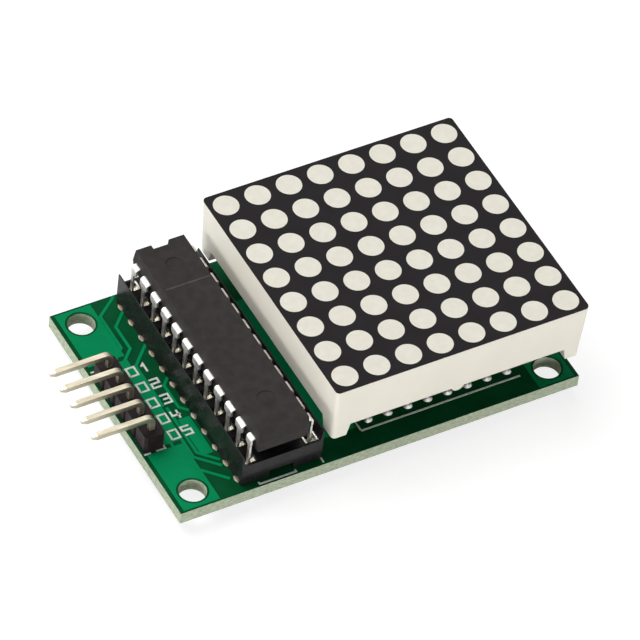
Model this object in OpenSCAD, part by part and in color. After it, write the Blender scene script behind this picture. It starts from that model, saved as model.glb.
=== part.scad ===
// LED dot matrix module: an 8 x 8 display, its driver chip in a socket and
// a bent pin header, all soldered to one circuit board.
// Origin: centre of the mounting hole pattern, on the board's underside.
// +X runs along the board towards the display, +Z up through the display.

/* [Circuit board] */
// Length of the board along X; the free board behind the header takes up the change
board_length = 50.5; // [47:0.5:70]
// Thickness of the board
board_thickness = 1.6; // [1.2:0.1:2.4]
// Diameter of the four corner mounting holes
mount_hole_d = 3.2; // [2.2:0.1:3.6]
// Distance of each mounting hole's centre from the board's end
mount_hole_inset_x = 2.75; // [2.3:0.05:3.5]
// Distance of each mounting hole's centre from the board's long edge
mount_hole_inset_y = 2.5; // [2.3:0.05:3.5]
// Length of the trimmed tails that stand below the board
tail_length = 1.6; // [1.2:0.1:3]
// Bare board on each long side, beyond the display
board_side_margin = 0; // [0:0.5:6]
// Spacing of all pins in a row
pin_pitch = 2.54; // [2.5:0.01:2.6]

/* [Pin header] */
// Number of header pins
header_pins = 5; // [2:1:8]
// Side of the square pin
header_pin_side = 0.64; // [0.5:0.02:0.7]
// Width of the header base across its row
header_base_width = 2.5; // [2.2:0.1:3]
// Height of the header base
header_base_height = 2.5; // [2:0.1:4]
// Corner cut between two cells of the base
header_cell_cut = 0.3; // [0.2:0.05:0.6]
// Gap from the board's end to the base
header_edge_gap = 0.32; // [0:0.02:2]
// Offset of the row's middle from the board's centre line
header_offset = -0.3; // [-2:0.1:2]
// Height of the bent arm's centre line above the board
header_arm_height = 4.3; // [4:0.1:6]
// Reach of the bent arm from the row to its tip
header_arm_reach = 7.45; // [4:0.05:12]
// Bend radius at the pin's centre line
header_bend_radius = 0.7; // [0.5:0.05:1]
// Length of the tapered tip
header_tip_length = 0.6; // [0.3:0.05:1]
// Drilled hole for a header pin
header_drill_d = 1.1; // [1.05:0.05:1.3]

/* [Chip socket] */
// Pins on each side of the chip
chip_pins = 12; // [4:1:12]
// Distance between the chip's two pin rows
chip_row_spacing = 7.62; // [7.5:0.01:7.8]
// Height of the frame that holds the contacts
socket_height = 3; // [2.8:0.1:4]
// Height of the guide walls along both sides
guide_wall_height = 4.5; // [4.2:0.1:5]
// Thickness of a guide wall at its root
guide_wall_root = 0.42; // [0.3:0.02:0.5]
// Thickness of a guide wall at its top
guide_wall_top = 0.14; // [0.1:0.02:0.2]
// Socket frame outside each pin row
socket_outer_margin = 1.27; // [1.2:0.01:1.6]
// Socket frame inside each pin row
socket_inner_margin = 1.3; // [1.2:0.05:1.6]
// Socket frame beyond the first and last pin
socket_end_margin = 1.03; // [0.95:0.01:2]
// Thickness of the bridges that join the two rails
socket_bridge = 1.6; // [0.8:0.1:2]
// Height of the vent slot under each end bridge
socket_vent_height = 0.85; // [0.5:0.05:1.5]
// Width of the vent slot under each end bridge
socket_vent_width = 3; // [1.5:0.1:4]
// Radius of the pin-one notch in the end bridge
socket_notch_r = 1; // [0.5:0.1:1.4]
// Depth of the pin-one notch from the top
socket_notch_depth = 1; // [0.5:0.1:2]
// Floor of each contact well
well_floor = 0.6; // [0.4:0.1:1]
// Well size across the rail
well_width = 1.7; // [1.65:0.05:1.9]
// Well size along the rail
well_length = 1.45; // [1.4:0.05:1.6]

/* [Socket contact] */
// Width of the two spring leaves
contact_width = 1.3; // [0.8:0.05:1.35]
// Thickness of the contact's sheet
contact_sheet = 0.2; // [0.15:0.01:0.25]
// Distance between the leaves at the contact's foot
contact_foot_gap = 0.5; // [0.4:0.05:0.6]
// Opening between the leaves at the flared top
contact_mouth_gap = 1.2; // [0.6:0.05:1.2]
// Height of the pinch above the well's floor
contact_pinch_height = 1.2; // [1:0.1:1.4]
// Length of the straight pinch
contact_pinch_length = 0.4; // [0.3:0.05:0.6]
// How far the leaves stop below the frame's top
contact_top_gap = 0.05; // [0:0.05:0.3]
// Width of the tail through the board
contact_tail_width = 0.5; // [0.4:0.02:0.55]
// Drilled hole for a socket contact and for a display pin
small_drill_d = 0.85; // [0.8:0.05:1]

/* [Chip] */
// Length of the chip body at its parting line
chip_length = 30.1; // [28:0.1:30.2]
// Width of the chip body at its parting line
chip_width = 6.4; // [6.2:0.05:6.8]
// Thickness of the chip body
chip_thickness = 3.2; // [3:0.1:3.8]
// Slope of the chip body's drafted sides, in mm over half its thickness
chip_draft = 0.17; // [0.05:0.01:0.3]
// How far the body sits to the left of the middle of its leads
chip_shift = 0.2; // [0:0.05:0.25]
// Gap between the chip body and the socket's contact frame
chip_seat_gap = 1.6; // [1.5:0.05:2]
// Width of the notch at the pin-one end
chip_notch_width = 2.2; // [1:0.1:3]
// Depth of the notch into the body's end
chip_notch_depth = 0.6; // [0.3:0.05:1]
// Diameter of the two ejector dimples
chip_dimple_d = 2.1; // [1:0.1:3]
// Depth of the ejector dimples
chip_dimple_depth = 0.08; // [0.03:0.01:0.2]
// Distance of each dimple from the middle between the two
chip_dimple_offset = 10.9; // [8:0.1:12]
// How far the middle between the dimples lies towards the notch
chip_dimple_shift = 0.35; // [0:0.05:0.5]
// Thickness of a lead
lead_thickness = 0.25; // [0.2:0.01:0.3]
// Width of a lead's shoulder
lead_shoulder_width = 1.5; // [1.2:0.05:1.65]
// Width of a lead's leg
lead_leg_width = 0.46; // [0.38:0.02:0.56]
// Bend radius inside a lead's shoulder
lead_bend_radius = 0.15; // [0.1:0.05:0.35]
// How far the wide shoulder reaches below the parting line
lead_shoulder_drop = 0.9; // [0.6:0.05:1.2]
// Length of the taper from the shoulder to the leg
lead_taper = 0.25; // [0.1:0.05:0.5]
// Reach of the first and last shoulder beyond the leg, towards the body's end
lead_end_reach = 0.3; // [0.3:0.05:0.75]
// How far a lead is moulded into the body
lead_seat = 0.6; // [0.3:0.05:1]
// Height of a lead's tip above the well's floor
lead_tip_clearance = 0.4; // [0.3:0.05:0.6]

/* [Display] */
// Dots along each side
dots = 8; // [4:1:8]
// Spacing of the dots
dot_pitch = 4; // [3.9:0.05:4.4]
// Diameter of a dot at the face
dot_d = 3; // [2:0.05:3.4]
// Diameter of a light cup at its back
cup_back_d = 2; // [1.2:0.1:2.4]
// Height of the display from its feet to its face
display_height = 8; // [7:0.1:9]
// Height of the feet above the board
display_lift = 3.45; // [3:0.05:5]
// Thickness of the black face film
face_thickness = 0.15; // [0.1:0.05:0.3]
// Height of the corner feet below the housing's edge
foot_height = 1.75; // [1.5:0.05:2.5]
// Length of a foot along X, at its bottom
foot_length_x = 1.75; // [1.2:0.05:2.4]
// Length of a foot along Y, at its bottom
foot_length_y = 2.1; // [1.2:0.05:2.4]
// Widening of a foot towards its root
foot_flare = 0.35; // [0:0.05:0.6]
// Draft of each housing wall from face to feet
housing_draft = 0.3; // [0.1:0.05:0.6]
// Corner radius of the housing
housing_corner_r = 0.5; // [0.2:0.05:1]
// Wall of the housing's skirt at its lower edge
skirt_wall = 1.2; // [1:0.05:1.6]
// Thickness of the reflector plate that holds the light cups
reflector_thickness = 3.8; // [3:0.1:4]
// Radius of the half-round key tab at the front edge
key_tab_r = 0.8; // [0.5:0.05:1.5]
// How far the key tab stands below the edge
key_tab_drop = 0.65; // [0.3:0.05:0.8]
// How far the key tab lies behind the wall's lower edge
key_tab_setback = 0.04; // [0.03:0.01:0.2]
// Bare board beyond the display's end
display_end_margin = 0.1; // [0:0.02:6]
// Gap between the socket and the display
socket_display_gap = 0.34; // [0.2:0.02:6]
// Thickness of the display's inner board
inner_board_thickness = 1; // [0.8:0.1:1.2]
// Clearance of the inner board in the skirt
inner_board_clearance = 0.1; // [0.05:0.01:0.2]
// Depth of the back resin below the skirt's edge
resin_recess = 0.2; // [0.1:0.05:0.4]
// Side of an LED chip
led_side = 0.35; // [0.2:0.05:0.5]
// Height of an LED chip
led_height = 0.2; // [0.1:0.05:0.3]
// Diameter of a display pin
display_pin_d = 0.5; // [0.4:0.02:0.6]
// Pins in each display row
display_pins = 8; // [4:1:8]
// Distance between the display's two pin rows
display_row_spacing = 24; // [22:0.1:25]

/* [Small parts under the display] */
// Diameter of the resistor's body
resistor_d = 2.3; // [1.6:0.1:2.4]
// Length of the resistor's body
resistor_length = 6; // [3:0.1:6.5]
// Diameter of the resistor's body between its two caps
resistor_waist_d = 1.95; // [1.4:0.05:2.2]
// Length of each cap of the resistor
resistor_cap_length = 1.2; // [0.8:0.1:1.5]
// Hole spacing of the resistor
resistor_pitch = 10.16; // [9.5:0.01:12.7]
// Distance of the resistor from the display's middle, towards the chip
resistor_offset = 7.5; // [6:0.5:9]
// Width of the ceramic capacitor
ceramic_width = 4; // [3:0.1:4.5]
// Thickness of the ceramic capacitor
ceramic_thickness = 2.4; // [1.5:0.1:3]
// Height of the ceramic capacitor's body
ceramic_height = 3.2; // [2:0.1:3.4]
// Stand-off of the ceramic capacitor's body above the board
ceramic_lift = 0.8; // [0.5:0.1:1]
// Diameter of the ceramic capacitor's round outline
ceramic_d = 4.6; // [4.2:0.1:5]
// How far the ceramic capacitor's wires reach into its body
ceramic_seat = 0.6; // [0.4:0.1:1]
// Hole spacing of the ceramic capacitor
ceramic_pitch = 2.54; // [2:0.01:3]
// Distance of the ceramic capacitor from the display's middle, along X
ceramic_offset_x = 8; // [6:0.5:10]
// Distance of the ceramic capacitor from the display's middle, along Y
ceramic_offset_y = 5; // [3:0.5:8]
// Diameter of the electrolytic capacitor's can
can_d = 4; // [3:0.1:4.2]
// Length of the electrolytic capacitor's can
can_length = 7; // [5:0.1:9]
// Wall of the can
can_wall = 0.3; // [0.2:0.05:0.4]
// Length of the rubber bung in the can's open end
bung_length = 1.2; // [1:0.1:2]
// Depth of the rolled groove that grips the bung
can_groove = 0.15; // [0.1:0.01:0.18]
// Distance from the can's open end to its holes in the board
can_lead_reach = 1.6; // [1.2:0.1:3]
// Distance of the can from the display's middle, along X
can_offset = 2; // [0:0.5:4]
// Thickness of the can's sleeve
sleeve_thickness = 0.12; // [0.08:0.01:0.2]
// Hole spacing of the electrolytic capacitor
can_pitch = 2; // [2:0.1:2.5]
// Diameter of the small parts' wire leads
wire_d = 0.5; // [0.4:0.02:0.6]
// Bend radius of the wire leads at their centre line
wire_bend_radius = 0.6; // [0.5:0.05:1]

/* [Solder] */
// Diameter of a solder joint's foot on the board
solder_d = 1.8; // [1.5:0.05:1.9]
// Height of a solder joint along its pin
solder_height = 1; // [0.6:0.05:1.1]
// Diameter of the solder ring on the board's top
solder_top_d = 1.2; // [1.1:0.05:1.5]
// Height of the solder ring on the board's top
solder_top_height = 0.25; // [0.1:0.05:0.5]
// Solder that stays round the pin at the joint's tip
solder_tip_wall = 0.1; // [0.08:0.01:0.12]

/* [Hidden] */
$fn = 64;
// Overshoot of a cutting solid beyond what it cuts
cut = 1;
// Thickness of the flat slices that a hull joins
skin = 0.01;

header_half_width = header_base_width / 2;
header_length = header_pins * pin_pitch;
socket_width = chip_row_spacing + 2 * socket_outer_margin;
socket_length = (chip_pins - 1) * pin_pitch + 2 * socket_end_margin;
display_size = dots * dot_pitch;
display_half = display_size / 2;
board_width = max(display_size, socket_length) + 2 * board_side_margin;

// Places along the board
header_x = header_edge_gap + header_half_width - board_length / 2;
display_x = board_length / 2 - display_end_margin - display_half;
socket_x = display_x - display_half - socket_display_gap - socket_width / 2;
chip_x = socket_x - chip_shift;
mount_x = board_length / 2 - mount_hole_inset_x;
mount_y = board_width / 2 - mount_hole_inset_y;

// Heights
board_top = board_thickness;
tail_z = -tail_length;
socket_top = board_top + socket_height;
chip_bottom = socket_top + chip_seat_gap;
chip_parting = chip_bottom + chip_thickness / 2;
chip_top = chip_bottom + chip_thickness;
well_z = board_top + well_floor;
contact_top = socket_top - contact_top_gap;
foot_z = board_top + display_lift;
face_top = foot_z + display_height;
face_z = face_top - face_thickness;
skirt_z = foot_z + foot_height;
reflector_z = face_z - reflector_thickness;
inner_board_z = reflector_z - inner_board_thickness;
resin_z = skirt_z + resin_recess;
header_base_top = board_top + header_base_height;
header_arm_z = board_top + header_arm_height;

// Housing draft per millimetre of height, and the inner board's side
draft_slope = housing_draft / display_height;
cavity_size = display_size - 2 * (draft_slope * (face_top - skirt_z) + skirt_wall);
inner_board_size = cavity_size - 2 * inner_board_clearance;

// Places of the small parts, from the display's centre
resistor_at = [display_x - resistor_offset, 0];
ceramic_at = [display_x + ceramic_offset_x, ceramic_offset_y];
can_at = [display_x + can_offset, -can_length / 2];
resistor_z = board_top + resistor_d / 2;
can_z = board_top + sleeve_thickness + can_d / 2;

// Place of number i in a row of n, centred on zero
function in_row(i, n, pitch) = (i - (n - 1) / 2) * pitch;

module along_row(n, pitch) {
    for (i = [0:n - 1]) translate([0, in_row(i, n, pitch), 0]) children();
}

module at_mount_holes() {
    for (sx = [-1, 1], sy = [-1, 1]) translate([sx * mount_x, sy * mount_y, 0]) children();
}

// Header pins are counted from the back edge to the front
function header_pin_y(i) = header_offset - in_row(i - 1, header_pins, pin_pitch);

module at_header_pins() {
    for (i = [1:header_pins]) translate([header_x, header_pin_y(i), 0]) children();
}

// The free holes for an output header mirror the input header
module at_output_holes() {
    for (i = [1:header_pins]) translate([-header_x, header_pin_y(i), 0]) children();
}

module at_socket_side(side) {
    translate([socket_x + side * chip_row_spacing / 2, 0, 0])
        along_row(chip_pins, pin_pitch) scale_x(side) children();
}

// Mirrors a right-hand shape for the left side
module scale_x(side) {
    if (side > 0) children();
    else mirror([1, 0, 0]) children();
}

// Display pins run along X: the front row first, then the back row
function display_pin_at(i) = let (back = i > display_pins, k = back ? i - display_pins : i)
    [display_x + in_row(k - 1, display_pins, pin_pitch),
     (back ? 1 : -1) * display_row_spacing / 2, 0];

module at_display_pins() {
    for (i = [1:2 * display_pins]) translate(display_pin_at(i)) children();
}

module at_dots() {
    for (ix = [0:dots - 1], iy = [0:dots - 1])
        translate([display_x + in_row(ix, dots, dot_pitch), in_row(iy, dots, dot_pitch), 0])
            children();
}

module at_resistor_holes() {
    for (s = [-1, 1]) translate([resistor_at.x, resistor_at.y + s * resistor_pitch / 2, 0])
        children();
}

module at_ceramic_holes() {
    for (s = [-1, 1]) translate([ceramic_at.x + s * ceramic_pitch / 2, ceramic_at.y, 0])
        children();
}

// The can lies along Y, and its leads turn down just in front of the bung
module at_can_holes() {
    for (s = [-1, 1])
        translate([can_at.x + s * can_pitch / 2, can_at.y - can_lead_reach, 0]) children();
}

// ---- circuit board ----
module drill(d) {
    translate([0, 0, -cut]) cylinder(d = d, h = board_thickness + 2 * cut);
}

module circuit_board() {
    color("#0b7d48") difference() {
        translate([-board_length / 2, -board_width / 2, 0])
            cube([board_length, board_width, board_thickness]);
        at_mount_holes() drill(mount_hole_d);
        at_header_pins() drill(header_drill_d);
        at_output_holes() drill(header_drill_d);
        for (side = [-1, 1]) at_socket_side(side) drill(small_drill_d);
        at_display_pins() drill(small_drill_d);
        at_resistor_holes() drill(small_drill_d);
        at_ceramic_holes() drill(small_drill_d);
        at_can_holes() drill(small_drill_d);
    }
}

// ---- solder ----
// A joint fills its drilled hole and climbs the pin in a hollow cone on the
// underside; top_height adds the low meniscus seen on the top of the board.
module solder_joint(drill_d, top_height) {
    foot_r = solder_d / 2;
    neck_r = drill_d / 2;
    tip_r = neck_r - solder_tip_wall / 2;
    rotate_extrude() polygon(concat(
        [[0, -solder_height], [tip_r, -solder_height]],
        [for (t = [0.25:0.25:1]) [tip_r + (foot_r - tip_r) * t * t, -solder_height * (1 - t)]],
        [[neck_r, 0], [neck_r, board_top]],
        top_height > 0 ? [[solder_top_d / 2, board_top], [tip_r, board_top + top_height]] : [],
        [[0, board_top + top_height]]));
}

module round_pin_cut(d) {
    translate([0, 0, tail_z - cut]) cylinder(d = d, h = board_top + tail_length + 2 * cut + socket_height);
}

module header_solder() {
    color("silver") at_header_pins() difference() {
        solder_joint(header_drill_d, 0);
        translate([-header_pin_side / 2, -header_pin_side / 2, tail_z - cut])
            cube([header_pin_side, header_pin_side, board_top + tail_length + 2 * cut]);
    }
}

module socket_solder() {
    color("silver") for (side = [-1, 1]) at_socket_side(side) difference() {
        solder_joint(small_drill_d, 0);
        translate([-contact_sheet / 2, -contact_tail_width / 2, tail_z - cut])
            cube([contact_sheet, contact_tail_width, board_top + tail_length + 2 * cut]);
    }
}

module display_solder() {
    color("silver") at_display_pins() difference() {
        solder_joint(small_drill_d, solder_top_height);
        round_pin_cut(display_pin_d);
    }
}

module wire_solder() {
    difference() {
        solder_joint(small_drill_d, solder_top_height);
        round_pin_cut(wire_d);
    }
}

module small_part_solder() {
    color("silver") {
        at_resistor_holes() wire_solder();
        at_ceramic_holes() wire_solder();
        at_can_holes() wire_solder();
    }
}

// ---- pin header ----
module header_cell() {
    w = header_base_width / 2;
    l = pin_pitch / 2;
    c = header_cell_cut;
    linear_extrude(header_base_height)
        polygon([[-w + c, -l], [w - c, -l], [w, -l + c], [w, l - c],
                 [w - c, l], [-w + c, l], [-w, l - c], [-w, -l + c]]);
}

module header_base() {
    color("#2b2628") difference() {
        at_header_pins() translate([0, 0, board_top]) header_cell();
        at_header_pins() translate([-header_pin_side / 2, -header_pin_side / 2, board_top - cut])
            cube([header_pin_side, header_pin_side, header_base_height + 2 * cut]);
    }
}

// Half ring of square wire, turning from up to -X about the bend's centre
module square_bend(side, radius) {
    translate([0, side / 2, 0]) rotate([90, 0, 0]) linear_extrude(side) intersection() {
        difference() {
            circle(radius + side / 2);
            circle(radius - side / 2);
        }
        square(radius + side);
    }
}

module header_pin() {
    s = header_pin_side;
    r = header_bend_radius;
    leg = header_arm_z - r - tail_z;
    arm = header_arm_reach - r - header_tip_length;
    color("#d8d2bd") {
        translate([-s / 2, -s / 2, tail_z]) cube([s, s, leg]);
        translate([-r, 0, header_arm_z - r]) square_bend(s, r);
        translate([-r - arm, -s / 2, header_arm_z - s / 2]) cube([arm, s, s]);
        translate([-r - arm, 0, header_arm_z]) pin_tip(s, header_tip_length);
    }
}

// Four-sided taper, pointing to -X, that ends in a flat half as wide
module pin_tip(side, length) {
    profile = [[0, -side / 2], [0, side / 2], [-length, side / 4], [-length, -side / 4]];
    intersection() {
        translate([0, 0, -side / 2]) linear_extrude(side) polygon(profile);
        translate([0, side / 2, 0]) rotate([90, 0, 0]) linear_extrude(side) polygon(profile);
    }
}

// ---- chip socket ----
module contact_well() {
    translate([-well_width / 2, -well_length / 2, well_z])
        cube([well_width, well_length, socket_height + cut]);
    // slot for the tail through the well's floor
    translate([-contact_sheet / 2, -contact_tail_width / 2, board_top - cut])
        cube([contact_sheet, contact_tail_width, well_floor + 2 * cut]);
}

// Section across the socket: a flat frame with a leaning guide wall on each side
module socket_section() {
    w = socket_width / 2;
    polygon([[-w, 0], [w, 0], [w, guide_wall_height], [w - guide_wall_top, guide_wall_height],
             [w - guide_wall_root, socket_height], [-w + guide_wall_root, socket_height],
             [-w + guide_wall_top, guide_wall_height], [-w, guide_wall_height]]);
}

module socket_frame() {
    inner_width = chip_row_spacing - 2 * socket_inner_margin;
    opening_length = (socket_length - 3 * socket_bridge) / 2;
    color("#2d2a2c") difference() {
        translate([socket_x, socket_length / 2, board_top]) rotate([90, 0, 0])
            linear_extrude(socket_length) socket_section();
        // two windows between the rails leave two end bridges and a middle one
        for (s = [-1, 1])
            translate([socket_x - inner_width / 2,
                       s * (opening_length + socket_bridge) / 2 - opening_length / 2,
                       board_top - cut])
                cube([inner_width, opening_length, socket_height + 2 * cut]);
        // vent slots under both end bridges
        translate([socket_x - socket_vent_width / 2, -socket_length / 2 - cut, board_top - cut])
            cube([socket_vent_width, socket_length + 2 * cut, socket_vent_height + cut]);
        // pin-one notch in the back bridge
        translate([socket_x, socket_length / 2, socket_top - socket_notch_depth])
            cylinder(r = socket_notch_r, h = socket_notch_depth + cut);
        for (side = [-1, 1]) at_socket_side(side) contact_well();
    }
}

// Tuning-fork contact: a tail, a foot on the well's floor, and two leaves that
// pinch the lead and flare at the top
module contact_leaf() {
    foot = contact_foot_gap / 2;
    mouth = contact_mouth_gap / 2;
    pinch = lead_thickness / 2;
    low = contact_pinch_height;
    high = contact_pinch_height + contact_pinch_length;
    top = contact_top - well_z;
    t = contact_sheet;
    polygon([[0, 0], [foot + t, 0], [foot + t, low / 2], [pinch + t, low], [pinch + t, high],
             [mouth + t, top], [mouth, top], [pinch, high], [pinch, low], [foot, low / 2],
             [foot, t], [0, t]]);
}

module socket_contact() {
    translate([0, contact_width / 2, well_z]) rotate([90, 0, 0]) linear_extrude(contact_width) {
        contact_leaf();
        mirror([1, 0]) contact_leaf();
    }
    translate([-contact_sheet / 2, -contact_tail_width / 2, tail_z])
        cube([contact_sheet, contact_tail_width, well_z - tail_z]);
}

module socket_contacts(side) {
    color("#d9d4c4") at_socket_side(side) socket_contact();
}

// ---- chip ----
// Six-sided section of the moulded body: widest at the parting line
module body_section(half_width) {
    h = chip_thickness / 2;
    polygon([[-half_width + chip_draft, -h], [half_width - chip_draft, -h], [half_width, 0],
             [half_width - chip_draft, h], [-half_width + chip_draft, h], [-half_width, 0]]);
}

module chip_body() {
    color("#3c3938") translate([chip_x, 0, chip_parting]) difference() {
        intersection() {
            translate([0, chip_length / 2, 0]) rotate([90, 0, 0])
                linear_extrude(chip_length) body_section(chip_width / 2);
            translate([-chip_width / 2, 0, 0]) rotate([90, 0, 90])
                linear_extrude(chip_width) body_section(chip_length / 2);
        }
        // pin-one notch, down to the parting line
        translate([-chip_notch_width / 2, chip_length / 2 - chip_draft - chip_notch_depth, 0])
            cube([chip_notch_width, chip_notch_depth + chip_draft + cut, chip_thickness]);
        for (s = [-1, 1])
            translate([0, chip_dimple_shift + s * chip_dimple_offset,
                       chip_thickness / 2 - chip_dimple_depth])
                cylinder(d = chip_dimple_d, h = chip_dimple_depth + cut);
        // seats of the leads
        for (side = [-1, 1], i = [0:chip_pins - 1])
            translate([side * (chip_width / 2 - lead_seat), in_row(i, chip_pins, pin_pitch), 0])
                scale_x(side) translate([0, -lead_low(i), -lead_thickness / 2])
                    cube([lead_seat + cut, lead_low(i) + lead_high(i), lead_thickness]);
    }
}

// A shoulder's reach to each side of the leg: the first and last are trimmed
// on the body's end side
function lead_low(i) = i == 0 ? lead_end_reach : lead_shoulder_width / 2;
function lead_high(i) = i == chip_pins - 1 ? lead_end_reach : lead_shoulder_width / 2;

module chip_lead(i, side) {
    low = lead_low(i);
    high = lead_high(i);
    t = lead_thickness;
    r = lead_bend_radius;
    // the leg's centre plane is at x = 0; the body's side lies inside it
    inner_x = chip_width / 2 - side * chip_shift - chip_row_spacing / 2 - lead_seat;
    bend_x = -r - t / 2;
    bend_z = chip_parting - r - t / 2;
    taper_z = chip_parting - lead_shoulder_drop;
    shoulder_z = taper_z - lead_taper;
    translate([inner_x, -low, chip_parting - t / 2]) cube([bend_x - inner_x, low + high, t]);
    translate([bend_x, high, bend_z]) rotate([90, 0, 0]) linear_extrude(low + high)
        intersection() {
            difference() {
                circle(r + t);
                circle(r);
            }
            square(r + t);
        }
    // shoulder, taper and leg are one flat strip
    leg = lead_leg_width / 2;
    tip_z = well_z + lead_tip_clearance;
    translate([-t / 2, 0, 0]) rotate([90, 0, 90]) linear_extrude(t)
        polygon([[-low, bend_z], [-low, taper_z], [-leg, shoulder_z], [-leg, tip_z + leg],
                 [-leg / 2, tip_z], [leg / 2, tip_z], [leg, tip_z + leg], [leg, shoulder_z],
                 [high, taper_z], [high, bend_z]]);
}

module chip_leads(side) {
    color("#dcd8cc") translate([socket_x + side * chip_row_spacing / 2, 0, 0])
        for (i = [0:chip_pins - 1])
            translate([0, in_row(i, chip_pins, pin_pitch), 0]) scale_x(side) chip_lead(i, side);
}

// ---- display ----
// Square with round corners, from exact arcs
module rounded_square(size, r) {
    square([size - 2 * r, size], center = true);
    square([size, size - 2 * r], center = true);
    for (sx = [-1, 1], sy = [-1, 1])
        translate([sx * (size / 2 - r), sy * (size / 2 - r)]) circle(r);
}

// Drafted block between the heights low and high, widest at its face
module drafted_block(low, high) {
    hull() {
        translate([0, 0, high - skin]) linear_extrude(skin)
            rounded_square(display_size, housing_corner_r, $fn = 32);
        translate([0, 0, low]) linear_extrude(skin)
            rounded_square(display_size - 2 * housing_draft, housing_corner_r, $fn = 32);
    }
}

// Outline of the cut between two feet, seen from the side
module foot_gap(foot_length) {
    reach = display_half - housing_draft - foot_length;
    polygon([[-reach, foot_z - cut], [reach, foot_z - cut], [reach, foot_z],
             [reach - foot_flare, skirt_z], [-reach + foot_flare, skirt_z], [-reach, foot_z]]);
}

module light_cup(d_front, d_back) {
    translate([0, 0, reflector_z]) cylinder(d1 = d_back, d2 = d_front, h = reflector_thickness);
}

module display_housing() {
    color("#e4e1d6") translate([display_x, 0, 0]) {
        difference() {
            drafted_block(foot_z, face_z);
            // gaps between the feet, from side to side and from front to back
            translate([0, display_size / 2 + cut, 0]) rotate([90, 0, 0])
                linear_extrude(display_size + 2 * cut) foot_gap(foot_length_x);
            translate([-display_size / 2 - cut, 0, 0]) rotate([90, 0, 90])
                linear_extrude(display_size + 2 * cut) foot_gap(foot_length_y);
            // cavity for the inner board and the back resin
            translate([-cavity_size / 2, -cavity_size / 2, foot_z - cut])
                cube([cavity_size, cavity_size, reflector_z - foot_z + cut]);
            translate([-display_x, 0, 0]) at_dots() {
                light_cup(dot_d, cup_back_d);
                translate([0, 0, face_z - face_thickness]) cylinder(d = dot_d, h = face_thickness);
            }
        }
        key_tab();
    }
}

// Half-round tab in the middle of the front edge, as thick as the skirt
module key_tab() {
    outer_y = -display_half + draft_slope * (face_top - skirt_z) + key_tab_setback;
    translate([0, outer_y + skirt_wall / 2, skirt_z]) rotate([90, 0, 0])
        linear_extrude(skirt_wall / 2) intersection() {
            translate([0, key_tab_r - key_tab_drop]) circle(key_tab_r);
            translate([-key_tab_r, -key_tab_drop]) square([2 * key_tab_r, key_tab_drop]);
        }
}

module display_face() {
    color("#2c2829") difference() {
        translate([display_x, 0, face_z]) linear_extrude(face_thickness)
            rounded_square(display_size, housing_corner_r);
        at_dots() translate([0, 0, face_z - cut]) cylinder(d = dot_d, h = face_thickness + 2 * cut);
    }
}

module light_dots() {
    color("#e2ded2") at_dots() difference() {
        union() {
            light_cup(dot_d, cup_back_d);
            translate([0, 0, face_z - face_thickness]) cylinder(d = dot_d, h = 2 * face_thickness);
        }
        translate([-led_side / 2, -led_side / 2, reflector_z - cut])
            cube([led_side, led_side, cut + led_height]);
    }
}

module led_chips() {
    color("#c9b458") at_dots() translate([-led_side / 2, -led_side / 2, reflector_z])
        cube([led_side, led_side, led_height]);
}

module inner_board() {
    color("#d8cf9a") difference() {
        translate([display_x - inner_board_size / 2, -inner_board_size / 2, inner_board_z])
            cube([inner_board_size, inner_board_size, inner_board_thickness]);
        at_display_pins() translate([0, 0, inner_board_z - cut])
            cylinder(d = display_pin_d, h = inner_board_thickness + 2 * cut);
    }
}

module back_resin() {
    color("#cfcabb") difference() {
        translate([display_x - cavity_size / 2, -cavity_size / 2, resin_z])
            cube([cavity_size, cavity_size, inner_board_z - resin_z]);
        at_display_pins() translate([0, 0, resin_z - cut])
            cylinder(d = display_pin_d, h = inner_board_z - resin_z + 2 * cut);
    }
}

module display_pin() {
    color("#d0ccc0") translate([0, 0, tail_z])
        cylinder(d = display_pin_d, h = reflector_z - tail_z);
}

// ---- small parts under the display ----
// Wire that comes up through the board, turns to +Y at height z and runs to length
module wire_lead(z, length) {
    r = wire_bend_radius;
    translate([0, 0, tail_z]) cylinder(d = wire_d, h = z - r - tail_z);
    translate([0, r, z - r]) rotate([90, 0, -90])
        rotate_extrude(angle = 90) translate([r, 0]) circle(d = wire_d);
    translate([0, r, z]) rotate([-90, 0, 0]) cylinder(d = wire_d, h = length - r);
}

module resistor_lead() {
    color("silver") wire_lead(resistor_z, (resistor_pitch - resistor_length) / 2);
}

// Turned body with a rounded cap at each end
module resistor_body() {
    r = resistor_d / 2;
    end_r = wire_d;
    waist = resistor_waist_d / 2;
    cap = resistor_cap_length;
    slope = r - waist;
    half = [[0, 0], [end_r, 0], [r, r - end_r], [r, cap], [waist, cap + slope]];
    color("#3f7fb0") translate([resistor_at.x, resistor_at.y - resistor_length / 2, resistor_z])
        rotate([-90, 0, 0]) rotate_extrude() polygon(concat(half,
            [for (i = [len(half) - 1:-1:0]) [half[i].x, resistor_length - half[i].y]]));
}

module ceramic_capacitor() {
    r = ceramic_thickness / 2;
    color("#c98f3c") translate([ceramic_at.x, ceramic_at.y, board_top + ceramic_lift])
        difference() {
            translate([0, r, 0]) rotate([90, 0, 0]) linear_extrude(ceramic_thickness)
                intersection() {
                    translate([0, ceramic_height / 2]) circle(d = ceramic_d);
                    translate([-ceramic_width / 2, 0]) square([ceramic_width, ceramic_height]);
                }
            for (s = [-1, 1]) translate([s * ceramic_pitch / 2, 0, -cut])
                cylinder(d = wire_d, h = ceramic_seat + cut);
        }
}

module ceramic_leads() {
    color("silver") at_ceramic_holes() translate([0, 0, tail_z])
        cylinder(d = wire_d, h = board_top + ceramic_lift + ceramic_seat - tail_z);
}

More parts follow.
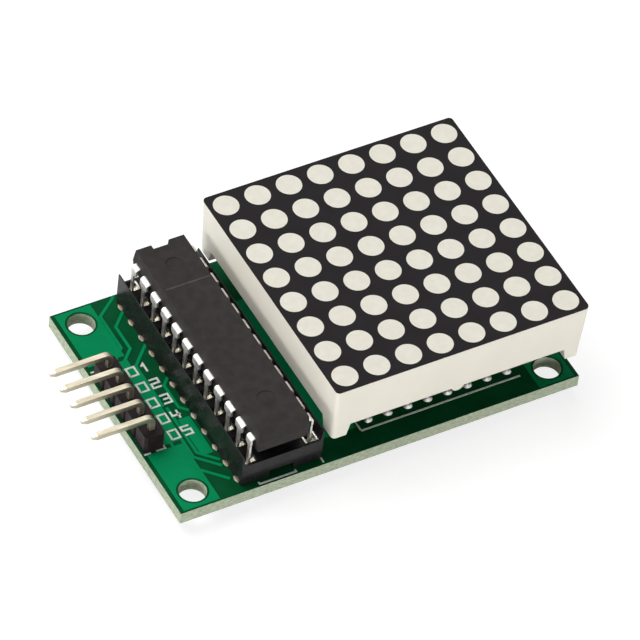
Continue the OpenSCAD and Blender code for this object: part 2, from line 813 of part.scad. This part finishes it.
// The can: a drawn cup with a rolled groove that holds the bung
module capacitor_can() {
    r = can_d / 2;
    middle = bung_length / 2;
    color("#c8c8c8") translate([can_at.x, can_at.y, can_z]) rotate([-90, 0, 0]) rotate_extrude()
        polygon([[r - can_wall, 0], [r, 0], [r, middle - can_groove], [r - can_groove, middle],
                 [r, middle + can_groove], [r, can_length], [0, can_length],
                 [0, bung_length], [r - can_wall, bung_length]]);
}

module capacitor_sleeve() {
    r = can_d / 2;
    color("#27303f") translate([can_at.x, can_at.y + bung_length, can_z]) rotate([-90, 0, 0])
        difference() {
            cylinder(r = r + sleeve_thickness, h = can_length - bung_length);
            translate([0, 0, -cut]) cylinder(r = r, h = can_length + 2 * cut);
        }
}

module capacitor_bung() {
    color("#1c1c1c") translate([can_at.x, can_at.y, can_z]) rotate([-90, 0, 0]) difference() {
        cylinder(r = can_d / 2 - can_wall, h = bung_length);
        for (s = [-1, 1]) translate([s * can_pitch / 2, 0, -cut])
            cylinder(d = wire_d, h = bung_length + 2 * cut);
    }
}

module capacitor_leads() {
    color("silver") at_can_holes() wire_lead(can_z, can_lead_reach + bung_length);
}

// ---- the pieces ----
circuit_board();
display_housing();
display_face();
light_dots();
led_chips();
inner_board();
back_resin();
chip_body();
chip_leads(-1);  // chip_leads_left
chip_leads(1);  // chip_leads_right
socket_frame();
socket_contacts(-1);  // socket_contacts_left
socket_contacts(1);  // socket_contacts_right
header_base();
header_solder();
socket_solder();
display_solder();
small_part_solder();
resistor_body();
translate([resistor_at.x, resistor_at.y - resistor_pitch / 2, 0]) resistor_lead();  // resistor_lead_front
translate([resistor_at.x, resistor_at.y + resistor_pitch / 2, 0]) mirror([0, 1, 0])  // resistor_lead_back
        resistor_lead();
ceramic_capacitor();
ceramic_leads();
capacitor_can();
capacitor_sleeve();
capacitor_bung();
capacitor_leads();
for (i = [1:header_pins])
    translate([header_x, header_pin_y(i), 0]) header_pin();
for (i = [1:2 * display_pins])
    translate(display_pin_at(i)) display_pin();
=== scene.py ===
import math

import bmesh
import bpy
from mathutils import Matrix, Vector


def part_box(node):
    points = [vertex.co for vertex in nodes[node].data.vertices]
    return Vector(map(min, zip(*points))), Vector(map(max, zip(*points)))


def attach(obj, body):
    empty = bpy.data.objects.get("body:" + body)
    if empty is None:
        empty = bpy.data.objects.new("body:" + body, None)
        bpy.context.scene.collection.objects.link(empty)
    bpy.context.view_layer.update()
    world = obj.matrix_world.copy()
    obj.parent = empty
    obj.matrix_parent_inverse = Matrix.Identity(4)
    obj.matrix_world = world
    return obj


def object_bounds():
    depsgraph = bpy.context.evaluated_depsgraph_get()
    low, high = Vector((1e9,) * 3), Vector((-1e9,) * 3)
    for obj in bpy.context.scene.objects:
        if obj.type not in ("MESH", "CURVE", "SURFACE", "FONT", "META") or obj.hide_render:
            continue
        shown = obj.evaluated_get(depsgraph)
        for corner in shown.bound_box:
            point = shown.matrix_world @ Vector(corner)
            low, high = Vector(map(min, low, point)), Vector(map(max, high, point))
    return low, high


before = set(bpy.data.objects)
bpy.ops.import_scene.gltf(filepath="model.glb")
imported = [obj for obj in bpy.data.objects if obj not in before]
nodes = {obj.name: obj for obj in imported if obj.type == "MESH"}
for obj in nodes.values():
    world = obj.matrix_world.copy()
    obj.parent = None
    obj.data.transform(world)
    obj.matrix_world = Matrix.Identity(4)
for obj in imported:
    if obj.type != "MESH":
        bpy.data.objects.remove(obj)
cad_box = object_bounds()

mm = 0.001

# ---- Circuit board ----
# The board is 1.6 mm of pressed glass and epoxy, cut from a larger panel and drilled. Both faces
# have copper under a glossy green solder mask. The cut edges and the hole walls are bare, cream
# coloured laminate with the ends of the glass bundles showing as pale and dark specks.
board_low, board_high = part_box("circuit_board")
board_top = board_high.z


def new_material(name, colour, roughness, metallic=0.0, gloss=0.5):
    made = bpy.data.materials.new(name)
    made.use_nodes = True
    shader = made.node_tree.nodes["Principled BSDF"]
    shader.inputs["Base Color"].default_value = (*colour, 1)
    shader.inputs["Roughness"].default_value = roughness
    shader.inputs["Metallic"].default_value = metallic
    shader.inputs["Specular IOR Level"].default_value = gloss
    return made


def noise(material, size, stretch=(1, 1, 1), detail=3.0):
    """Noise in the object's own coordinates; size is the width of a blotch in metres."""
    tree = material.node_tree
    place = tree.nodes.new("ShaderNodeTexCoord")
    squeeze = tree.nodes.new("ShaderNodeMapping")
    squeeze.inputs["Scale"].default_value = [1 / (size * s) for s in stretch]
    cloud = tree.nodes.new("ShaderNodeTexNoise")
    cloud.inputs["Scale"].default_value = 1.0
    cloud.inputs["Detail"].default_value = detail
    tree.links.new(place.outputs["Object"], squeeze.inputs["Vector"])
    tree.links.new(squeeze.outputs["Vector"], cloud.inputs["Vector"])
    return cloud.outputs["Fac"]


def blotches(material, dark, light, size, stretch=(1, 1, 1), low=0.35, high=0.65):
    """Colour that drifts between two shades."""
    tree = material.node_tree
    ramp = tree.nodes.new("ShaderNodeValToRGB")
    ramp.color_ramp.elements[0].position, ramp.color_ramp.elements[1].position = low, high
    ramp.color_ramp.elements[0].color = (*dark, 1)
    ramp.color_ramp.elements[1].color = (*light, 1)
    tree.links.new(noise(material, size, stretch), ramp.inputs["Fac"])
    tree.links.new(ramp.outputs["Color"], tree.nodes["Principled BSDF"].inputs["Base Color"])
    return ramp


def rub(material, smooth, rough, size, stretch=(1, 1, 1)):
    """Gloss that drifts between smooth and rough, as handling leaves it."""
    tree = material.node_tree
    spread = tree.nodes.new("ShaderNodeMapRange")
    spread.inputs["From Min"].default_value, spread.inputs["From Max"].default_value = 0.3, 0.7
    spread.inputs["To Min"].default_value, spread.inputs["To Max"].default_value = smooth, rough
    tree.links.new(noise(material, size, stretch), spread.inputs["Value"])
    tree.links.new(spread.outputs["Result"], tree.nodes["Principled BSDF"].inputs["Roughness"])


def grain(material, size, height, stretch=(1, 1, 1), edge=0.0):
    """Fine relief; edge is the radius to which sharp edges are softened."""
    tree = material.node_tree
    bump = tree.nodes.new("ShaderNodeBump")
    bump.inputs["Distance"].default_value = height
    bump.inputs["Strength"].default_value = 1.0
    tree.links.new(noise(material, size, stretch), bump.inputs["Height"])
    if edge:
        soft = tree.nodes.new("ShaderNodeBevel")
        soft.samples = 4
        soft.inputs["Radius"].default_value = edge
        tree.links.new(soft.outputs["Normal"], bump.inputs["Normal"])
    tree.links.new(bump.outputs["Normal"], tree.nodes["Principled BSDF"].inputs["Normal"])


def dress(name, *materials):
    """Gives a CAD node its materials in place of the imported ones."""
    mesh = nodes[name].data
    mesh.materials.clear()
    for m in materials:
        mesh.materials.append(m)
    return mesh


bare_mask = new_material("mask_over_laminate", (0.001, 0.075, 0.026), 0.3, gloss=0.03)
blotches(bare_mask, (0.001, 0.056, 0.017), (0.0015, 0.074, 0.024), 4 * mm)
rub(bare_mask, 0.24, 0.38, 9 * mm)
grain(bare_mask, 0.9 * mm, 0.003 * mm)

bare_laminate = new_material("bare_laminate", (0.6, 0.62, 0.4), 0.75, gloss=0.3)
blotches(bare_laminate, (0.24, 0.29, 0.19), (0.5, 0.55, 0.42), 0.22 * mm, (2.5, 2.5, 0.7), 0.3, 0.7)
grain(bare_laminate, 0.16 * mm, 0.03 * mm)

board_mesh = dress("circuit_board", bare_mask, bare_laminate)
for face in board_mesh.polygons:
    face.material_index = 0 if abs(face.normal.z) > 0.9 else 1


# ---- Copper under the mask ----
# Copper is etched from one thin sheet on each face. Ground areas lie at the ends, and narrow tracks
# run with slanting turns between the header and the socket. The mask looks brighter over copper,
# and the copper's edges show through it as low steps. Places and widths are in millimetres.
ground_rise = 0.035 * mm
track_rise = 0.05 * mm
track_width = 0.35
pin_pitch = 2.54
hole_x, hole_y = 22.5, 13.5
corner_half, corner_clear = 2.25, 1.85
inner_y = hole_y - corner_half
header_back, header_front = 7.3, -6.9
label_left, label_margin = -22.3, 0.6
# left, right, front and back of the areas beside the socket, and between the chip and the display
socket_ground = (-19.2, -17.75, -9.4, -3.6)
middle_ground = (-6.6, -1.6, -12.6, 9.6)


def new_piece(name, form, material):
    mesh = bpy.data.meshes.new(name)
    form.to_mesh(mesh)
    form.free()
    mesh.materials.append(material)
    made = bpy.data.objects.new(name, mesh)
    bpy.context.scene.collection.objects.link(made)
    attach(made, "root")
    return made


def add_plate(form, outline, low, high, hole=None):
    """Flat plate; the outline, and a hole with as many corners, are in millimetres."""
    rings = [[form.verts.new((x * mm, y * mm, z)) for x, y in line]
             for line in ([outline, hole] if hole else [outline]) for z in (low, high)]
    if not hole:
        form.faces.new(rings[1])
        form.faces.new(rings[0][::-1])
    for i in range(len(outline)):
        j = (i + 1) % len(outline)
        form.faces.new((rings[0][i], rings[0][j], rings[1][j], rings[1][i]))
        if hole:
            form.faces.new((rings[2][j], rings[2][i], rings[3][i], rings[3][j]))
            form.faces.new((rings[1][i], rings[1][j], rings[3][j], rings[3][i]))
            form.faces.new((rings[0][j], rings[0][i], rings[2][i], rings[2][j]))


def add_box(form, left, right, front, back, low, high):
    add_plate(form, [(left, front), (right, front), (right, back), (left, back)], low, high)


def add_ribbon(form, path, width, low, high):
    """Strip of even width along a path in millimetres, with mitred corners."""
    points = [Vector(p) for p in path]
    steps = [(b - a).normalized() for a, b in zip(points, points[1:])]
    left, right = [], []
    for i, here in enumerate(points):
        a, b = steps[max(i - 1, 0)], steps[min(i, len(steps) - 1)]
        across = Vector((-(a + b).y, (a + b).x)).normalized()
        reach = width / 2 / across.dot(Vector((-a.y, a.x)))
        left.append(here + across * reach)
        right.append(here - across * reach)
    add_plate(form, [tuple(p) for p in right + left[::-1]], low, high)


def oval(x, y, length, width, corners=32):
    """Outline of an oval pad that lies along X."""
    flat = (length - width) / 2
    turns = [2 * math.pi * (i + 0.5) / corners for i in range(corners)]
    return [(x + math.cos(t) * width / 2 + math.copysign(flat, math.cos(t)),
             y + math.sin(t) * width / 2) for t in turns]


def add_holed_square(form, x, y, half, hole_radius, low, high, corners=32):
    """Square plate with a round hole; a corner count that eight divides keeps the corners sharp."""
    turns = [2 * math.pi * i / corners for i in range(corners)]
    square, circle = [], []
    for t in turns:
        reach = half / max(abs(math.cos(t)), abs(math.sin(t)))
        square.append((x + reach * math.cos(t), y + reach * math.sin(t)))
        circle.append((x + hole_radius * math.cos(t), y + hole_radius * math.sin(t)))
    add_plate(form, square, low, high, circle)


copper_mask = new_material("mask_over_copper", (0.001, 0.2, 0.075), 0.28, gloss=0.03)
blotches(copper_mask, (0.001, 0.205, 0.074), (0.0015, 0.24, 0.088), 6 * mm)
rub(copper_mask, 0.24, 0.36, 9 * mm)
grain(copper_mask, 0.9 * mm, 0.003 * mm)

for face_name, low, high in (("top", board_top, board_top + ground_rise),
                             ("under", board_low.z - ground_rise, board_low.z)):
    ground = bmesh.new()
    for x in (-hole_x, hole_x):
        for y in (-hole_y, hole_y):
            add_holed_square(ground, x, y, corner_half, corner_clear, low, high)
    # both ends keep the copper away from their row of five header holes
    for x in (-hole_x, hole_x):
        add_box(ground, x - corner_half, x + corner_half, header_back, inner_y, low, high)
        add_box(ground, x - corner_half, x + corner_half, -inner_y, header_front, low, high)
    if face_name == "top":
        add_box(ground, label_left, corner_half - hole_x, header_front + label_margin,
                header_back - label_margin, low, high)
        add_box(ground, *socket_ground, low, high)
        add_box(ground, *middle_ground, low, high)
    new_piece("ground_copper_" + face_name, ground, copper_mask)

tracks = bmesh.new()
for path in ([(-17.3, 15.8), (-17.87, 15.3), (-20.05, 13.65), (-20.05, 8.5), (-22.6, 5.95)],
             [(-17.28, 13.4), (-19.16, 11.55), (-19.16, 8.0), (-22.6, 4.6)],
             [(-17.28, 7.9), (-19.8, 5.4), (-19.8, -1.2)],
             [(-20.15, 5.0), (-20.15, -9.2), (-17.8, -11.55)],
             [(-19.5, -1.5), (-19.5, -8.8), (-17.6, -10.7)],
             [(-17.9, -13.6), (-21.5, -10.0), (-21.5, -6.4), (-22.6, -5.3)],
             [(-17.3, 2.5), (-18.25, 1.55), (-18.25, -2.0), (-17.4, -2.85)]):
    add_ribbon(tracks, path, track_width, board_top, board_top + track_rise)
new_piece("tracks_top", tracks, copper_mask)


# ---- Solder pads ----
# The pads are openings in the mask round the drilled holes, where the copper is tinned. All are
# ovals. The socket's are longer on top, where they show beside its frame.
pad_tin = new_material("pad_tin", (0.62, 0.5, 0.4), 0.4, metallic=1.0)
blotches(pad_tin, (0.5, 0.38, 0.28), (0.72, 0.62, 0.52), 0.5 * mm)
rub(pad_tin, 0.3, 0.5, 0.4 * mm)
grain(pad_tin, 0.2 * mm, 0.006 * mm)
socket_columns = (-16.08, -8.46)
socket_rows = [pin_pitch * (5.5 - i) for i in range(12)]
header_x, header_middle_y = -23.68, -0.3
header_rows = [header_middle_y + pin_pitch * (2 - i) for i in range(5)]
pad_width, pad_length_top, pad_length_under, header_pad_length = 1.5, 3.0, 2.2, 1.8
under_pad = (board_low.z - track_rise, board_low.z)
pads = bmesh.new()
for y in socket_rows:
    for x in socket_columns:
        add_plate(pads, oval(x, y, pad_length_top, pad_width), board_top, board_top + track_rise)
        add_plate(pads, oval(x, y, pad_length_under, pad_width), *under_pad)
for y in header_rows:
    add_plate(pads, oval(header_x, y, header_pad_length, pad_width), *under_pad)
new_piece("solder_pads", pads, pad_tin)


# ---- Printed outlines and numbers ----
# White ink is screened over the mask: outlines that show where each part goes, and a plain number
# beside each pin of the header.
ink = new_material("board_ink", (0.62, 0.64, 0.6), 0.6, gloss=0.2)
blotches(ink, (0.5, 0.54, 0.49), (0.68, 0.7, 0.66), 0.4 * mm)
rub(ink, 0.5, 0.7, 0.5 * mm)
grain(ink, 0.15 * mm, 0.004 * mm)
ink_top = board_top + 0.065 * mm
ink_width, number_ink_width = 0.2, 0.23
outlines = bmesh.new()
for path in ([(-25.0, -6.75), (-24.2, -6.75)],
             [(-23.5, -6.75), (-22.4, -6.75), (-22.4, -6.1)],
             [(-22.4, 5.9), (-22.4, 6.5), (-24.9, 6.5)],
             [(-15.28, -15.35), (-15.28, -15.65), (-10.71, -15.65), (-10.71, -15.35)],
             [(-7.28, -14.68), (-7.28, -15.7)],
             [(-1.25, -13.3), (19.1, -13.3)],
             [(-1.25, -13.2), (-1.25, 13.3), (19.1, 13.3)],
             [(-3.95, 1.2), (-3.95, 2.3)],
             [(-3.95, -1.0), (-3.95, -0.5)]):
    add_ribbon(outlines, path, ink_width, board_top, ink_top)
new_piece("printed_outlines", outlines, ink)

# strokes of each digit on a grid one wide and one high
digit_strokes = {"0": [[(0, 0), (1, 0), (1, 1), (0, 1), (0, 0)]],
                 "1": [[(0.2, 0.75), (0.55, 1), (0.55, 0)]],
                 "2": [[(0, 1), (1, 1), (1, 0.5), (0, 0.5), (0, 0), (1, 0)]],
                 "3": [[(0, 1), (1, 1), (1, 0), (0, 0)], [(0.2, 0.5), (0.9, 0.5)]],
                 "4": [[(0, 1), (0, 0.45), (1, 0.45)], [(0.75, 1), (0.75, 0)]],
                 "5": [[(1, 1), (0, 1), (0, 0.55), (1, 0.55), (1, 0), (0, 0)]]}
digit_width, digit_height, digit_step, digit_left = 1.0, 1.25, 1.6, -21.1
numbers = bmesh.new()
for number, y in enumerate(header_rows, 1):
    for place, digit in enumerate("%02d" % number):
        corner_x, corner_y = digit_left + place * digit_step, y - digit_height / 2
        for stroke in digit_strokes[digit]:
            path = [(corner_x + u * digit_width, corner_y + v * digit_height) for u, v in stroke]
            add_ribbon(numbers, path, number_ink_width, board_top, ink_top)
new_piece("pin_numbers", numbers, ink)


# ---- Pin header ----
# Five square pins are pressed through a moulded strip of dark nylon, snapped off a longer strip,
# and bent over the board's end. The pins are drawn brass with a pale, champagne-coloured plating.
header_plastic = new_material("header_plastic", (0.014, 0.009, 0.0095), 0.45, gloss=0.08)
blotches(header_plastic, (0.012, 0.008, 0.009), (0.019, 0.013, 0.0135), 0.8 * mm)
rub(header_plastic, 0.38, 0.55, 0.7 * mm)
grain(header_plastic, 0.25 * mm, 0.008 * mm, edge=0.08 * mm)
dress("header_base", header_plastic)

pin_plating = new_material("pin_plating", (0.5, 0.455, 0.35), 0.42, metallic=1.0)
blotches(pin_plating, (0.43, 0.39, 0.29), (0.56, 0.515, 0.41), 0.5 * mm, (5, 1, 1))
rub(pin_plating, 0.32, 0.5, 0.4 * mm, (6, 1, 1))
grain(pin_plating, 0.06 * mm, 0.002 * mm, (20, 1, 1), edge=0.06 * mm)
for i in range(1, 6):
    dress("header_pin_%d" % i, pin_plating)


# ---- Chip socket ----
# The socket is a black moulded frame with a thin guide wall along each side. Sprung contacts of
# tinned sheet stand in its wells, and their tails go through the board.
socket_plastic = new_material("socket_plastic", (0.012, 0.01, 0.011), 0.3, gloss=0.16)
blotches(socket_plastic, (0.01, 0.009, 0.0095), (0.016, 0.014, 0.015), 2 * mm)
rub(socket_plastic, 0.16, 0.34, 1.5 * mm)
grain(socket_plastic, 0.4 * mm, 0.006 * mm, edge=0.06 * mm)
dress("socket_frame", socket_plastic)

contact_tin = new_material("contact_tin", (0.86, 0.84, 0.76), 0.22, metallic=1.0)
blotches(contact_tin, (0.78, 0.75, 0.66), (0.9, 0.88, 0.82), 0.3 * mm)
rub(contact_tin, 0.14, 0.34, 0.3 * mm)
grain(contact_tin, 0.05 * mm, 0.002 * mm, (1, 1, 8))
for side in ("left", "right"):
    dress("socket_contacts_" + side, contact_tin)


# ---- Chip ----
# The chip is a die moulded into matt, charcoal-grey compound, with two round ejector dimples and
# a notch at the pin-one end. Its tinned leads are stamped from one strip, bent down and trimmed.
chip_compound = new_material("chip_compound", (0.031, 0.0275, 0.0265), 0.6, gloss=0.08)
blotches(chip_compound, (0.027, 0.024, 0.023), (0.035, 0.0315, 0.03), 1.2 * mm)
rub(chip_compound, 0.5, 0.7, 2 * mm)
grain(chip_compound, 0.07 * mm, 0.006 * mm, edge=0.05 * mm)
dress("chip_body", chip_compound)

# a faint lighter line across the top
chip_low, chip_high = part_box("chip_body")
line_front, line_back, line_inset = 8.05, 8.25, 0.4
line_sunk, line_rise = 0.01 * mm, 0.006 * mm
mould_line = bmesh.new()
add_box(mould_line, chip_low.x / mm + line_inset, chip_high.x / mm - line_inset, line_front,
        line_back, chip_high.z - line_sunk, chip_high.z + line_rise)
pale_compound = new_material("pale_compound", (0.05, 0.046, 0.044), 0.6, gloss=0.1)
blotches(pale_compound, (0.055, 0.05, 0.047), (0.085, 0.077, 0.07), 1.2 * mm)
grain(pale_compound, 0.07 * mm, 0.006 * mm)
new_piece("chip_mould_line", mould_line, pale_compound)

lead_tin = new_material("lead_tin", (0.76, 0.75, 0.71), 0.45, metallic=1.0)
blotches(lead_tin, (0.66, 0.65, 0.6), (0.8, 0.79, 0.76), 0.5 * mm)
rub(lead_tin, 0.38, 0.52, 0.4 * mm)
grain(lead_tin, 0.06 * mm, 0.003 * mm, (1, 1, 10), edge=0.05 * mm)
for side in ("left", "right"):
    dress("chip_leads_" + side, lead_tin)


# ---- Display ----
# The display is an off-white moulded housing with 64 light cups. Each cup is filled with milky
# resin over an LED chip, a black film covers the face, and resin seals the back.
housing_plastic = new_material("housing_plastic", (0.78, 0.745, 0.655), 0.45, gloss=0.35)
blotches(housing_plastic, (0.765, 0.73, 0.635), (0.79, 0.76, 0.67), 5 * mm)
rub(housing_plastic, 0.36, 0.52, 3 * mm)
grain(housing_plastic, 0.3 * mm, 0.004 * mm, edge=0.12 * mm)
dress("display_housing", housing_plastic)

black_film = new_material("black_film", (0.0135, 0.0115, 0.013), 0.5, gloss=0.08)
blotches(black_film, (0.012, 0.0102, 0.0115), (0.015, 0.0128, 0.0145), 3 * mm)
rub(black_film, 0.42, 0.56, 4 * mm)
grain(black_film, 0.12 * mm, 0.002 * mm)
dress("display_face", black_film)

dot_resin = new_material("dot_resin", (0.78, 0.75, 0.655), 0.4, gloss=0.3)
blotches(dot_resin, (0.75, 0.72, 0.625), (0.79, 0.765, 0.675), 0.8 * mm)
rub(dot_resin, 0.3, 0.5, 0.6 * mm)
grain(dot_resin, 0.4 * mm, 0.004 * mm)
dress("light_dots", dot_resin)

led_die = new_material("led_die", (0.55, 0.5, 0.3), 0.3)
blotches(led_die, (0.4, 0.36, 0.2), (0.6, 0.55, 0.34), 0.1 * mm)
dress("led_chips", led_die)

inner_laminate = new_material("inner_laminate", (0.5, 0.45, 0.22), 0.6)
blotches(inner_laminate, (0.42, 0.38, 0.18), (0.56, 0.5, 0.27), 0.5 * mm)
dress("inner_board", inner_laminate)

back_resin = new_material("back_resin", (0.62, 0.58, 0.44), 0.2)
blotches(back_resin, (0.55, 0.51, 0.37), (0.66, 0.62, 0.48), 4 * mm)
grain(back_resin, 3 * mm, 0.05 * mm)
dress("back_resin", back_resin)

for i in range(1, 17):
    dress("display_pin_%d" % i, lead_tin)


# ---- Solder ----
# Every joint is bright tin solder: a cone round each tail under the board, and a low ring on top
# where the hole is seen.
solder = new_material("solder", (0.6, 0.6, 0.59), 0.3, metallic=1.0)
blotches(solder, (0.48, 0.48, 0.47), (0.66, 0.66, 0.65), 0.4 * mm)
rub(solder, 0.22, 0.42, 0.3 * mm)
grain(solder, 0.3 * mm, 0.02 * mm)
for name in ("header_solder", "socket_solder", "display_solder", "small_part_solder"):
    dress(name, solder)


# ---- Small parts under the display ----
# A lacquered resistor, a dipped ceramic capacitor and a sleeved aluminium capacitor lie in the gap
# under the display, on tinned wires.
lacquer = new_material("resistor_lacquer", (0.06, 0.2, 0.4), 0.35)
blotches(lacquer, (0.05, 0.18, 0.36), (0.07, 0.22, 0.44), 0.7 * mm)
grain(lacquer, 0.4 * mm, 0.01 * mm)
dress("resistor_body", lacquer)
ceramic = new_material("ceramic_lacquer", (0.6, 0.28, 0.05), 0.3)
blotches(ceramic, (0.52, 0.23, 0.04), (0.66, 0.33, 0.07), 0.8 * mm)
grain(ceramic, 0.5 * mm, 0.02 * mm)
dress("ceramic_capacitor", ceramic)
can_metal = new_material("can_metal", (0.8, 0.8, 0.8), 0.25, metallic=1.0)
blotches(can_metal, (0.74, 0.74, 0.74), (0.84, 0.84, 0.84), 0.5 * mm)
dress("capacitor_can", can_metal)
sleeve = new_material("sleeve_film", (0.03, 0.04, 0.09), 0.25)
blotches(sleeve, (0.025, 0.033, 0.075), (0.035, 0.046, 0.1), 1 * mm)
dress("capacitor_sleeve", sleeve)
bung = new_material("bung_rubber", (0.03, 0.03, 0.03), 0.7)
blotches(bung, (0.02, 0.02, 0.02), (0.04, 0.04, 0.04), 0.4 * mm)
dress("capacitor_bung", bung)
for name in ("resistor_lead_front", "resistor_lead_back", "ceramic_leads", "capacitor_leads"):
    dress(name, lead_tin)


# ---- Floor, light and camera ----
# The module stands on the tips of its soldered tails on a plain white floor.
floor_z = cad_box[0].z
sheet = bpy.data.meshes.new("floor")
floor_half = 3.0
floor_corners = [(x * floor_half, y * floor_half, floor_z)
                 for x, y in ((-1, -1), (1, -1), (1, 1), (-1, 1))]
sheet.from_pydata(floor_corners, [], [(0, 1, 2, 3)])
floor = bpy.data.objects.new("floor", sheet)
bpy.context.scene.collection.objects.link(floor)



def seen_plainly(tree):
    """One for what the camera sees itself, in a mirror or through a clear piece, and else zero."""
    path = tree.nodes.new("ShaderNodeLightPath")
    answer = path.outputs["Is Camera Ray"]
    for kind in ("Is Glossy Ray", "Is Transmission Ray"):
        either = tree.nodes.new("ShaderNodeMath")
        either.operation = "MAXIMUM"
        tree.links.new(answer, either.inputs[0])
        tree.links.new(path.outputs[kind], either.inputs[1])
        answer = either.outputs[0]
    return answer


paper = bpy.data.materials.new("floor_paper")
paper.use_nodes = True
tree = paper.node_tree
tree.nodes.remove(tree.nodes["Principled BSDF"])
matt = tree.nodes.new("ShaderNodeBsdfDiffuse")
matt.inputs["Color"].default_value = (0.9, 0.9, 0.9, 1)
shadowed = tree.nodes.new("ShaderNodeBsdfDiffuse")
shadowed.inputs["Color"].default_value = (0.3, 0.3, 0.3, 1)
glow = tree.nodes.new("ShaderNodeEmission")
glow.inputs["Color"].default_value = (1, 1, 1, 1)
glow.inputs["Strength"].default_value = 0.8
both = tree.nodes.new("ShaderNodeAddShader")
choose = tree.nodes.new("ShaderNodeMixShader")
tree.links.new(shadowed.outputs[0], both.inputs[0])
tree.links.new(glow.outputs[0], both.inputs[1])
tree.links.new(seen_plainly(tree), choose.inputs[0])
tree.links.new(matt.outputs[0], choose.inputs[1])
tree.links.new(both.outputs[0], choose.inputs[2])
tree.links.new(choose.outputs[0], tree.nodes["Material Output"].inputs["Surface"])
sheet.materials.append(paper)

world = bpy.data.worlds.new("studio")
bpy.context.scene.world = world
world.use_nodes = True
tree = world.node_tree
air = tree.nodes["Background"]
air.inputs["Color"].default_value = (1, 1, 1, 1)
level = tree.nodes.new("ShaderNodeMapRange")
level.inputs["To Min"].default_value = 0.1
level.inputs["To Max"].default_value = 1.0
tree.links.new(seen_plainly(tree), level.inputs["Value"])
tree.links.new(level.outputs["Result"], air.inputs["Strength"])


def softbox(name, spot, aim, width, watts):
    lamp = bpy.data.lights.new(name, "AREA")
    lamp.shape = "SQUARE"
    lamp.size = width
    lamp.energy = watts
    made = bpy.data.objects.new(name, lamp)
    made.location = spot
    made.rotation_euler = (Vector(aim) - Vector(spot)).to_track_quat("-Z", "Y").to_euler()
    bpy.context.scene.collection.objects.link(made)


softbox("overhead", (-0.3, 0.5, 0.9), (0, 0, 0), 1.0, 13.0)
softbox("left_fill", (-1.0, 0.1, 0.12), (0, 0, 0.005), 0.5, 6.0)
softbox("front_fill", (-0.1, -1.0, 0.06), (0, 0, 0.005), 0.5, 9.0)

camera = bpy.data.objects.new("camera", bpy.data.cameras.new("camera"))
bpy.context.scene.collection.objects.link(camera)
bpy.context.scene.camera = camera
camera_spot = (-0.2955, -0.4432, 0.5813)
camera.data.lens = 394.91
camera.data.sensor_width = 36
camera.data.clip_start, camera.data.clip_end = 0.05, 20
turn, rise, roll = math.radians(-33.7195), math.radians(47.2033), math.radians(7.3716)
back = Vector((math.sin(turn) * math.cos(rise), -math.cos(turn) * math.cos(rise), math.sin(rise)))
right = Vector((0, 0, 1)).cross(back).normalized()
up = back.cross(right)
tilted_right = right * math.cos(roll) + up * math.sin(roll)
tilted_up = up * math.cos(roll) - right * math.sin(roll)
camera.matrix_world = Matrix.Translation(camera_spot) @ Matrix(
    (tilted_right, tilted_up, back)).transposed().to_4x4()

bpy.context.scene.view_settings.view_transform = "Standard"
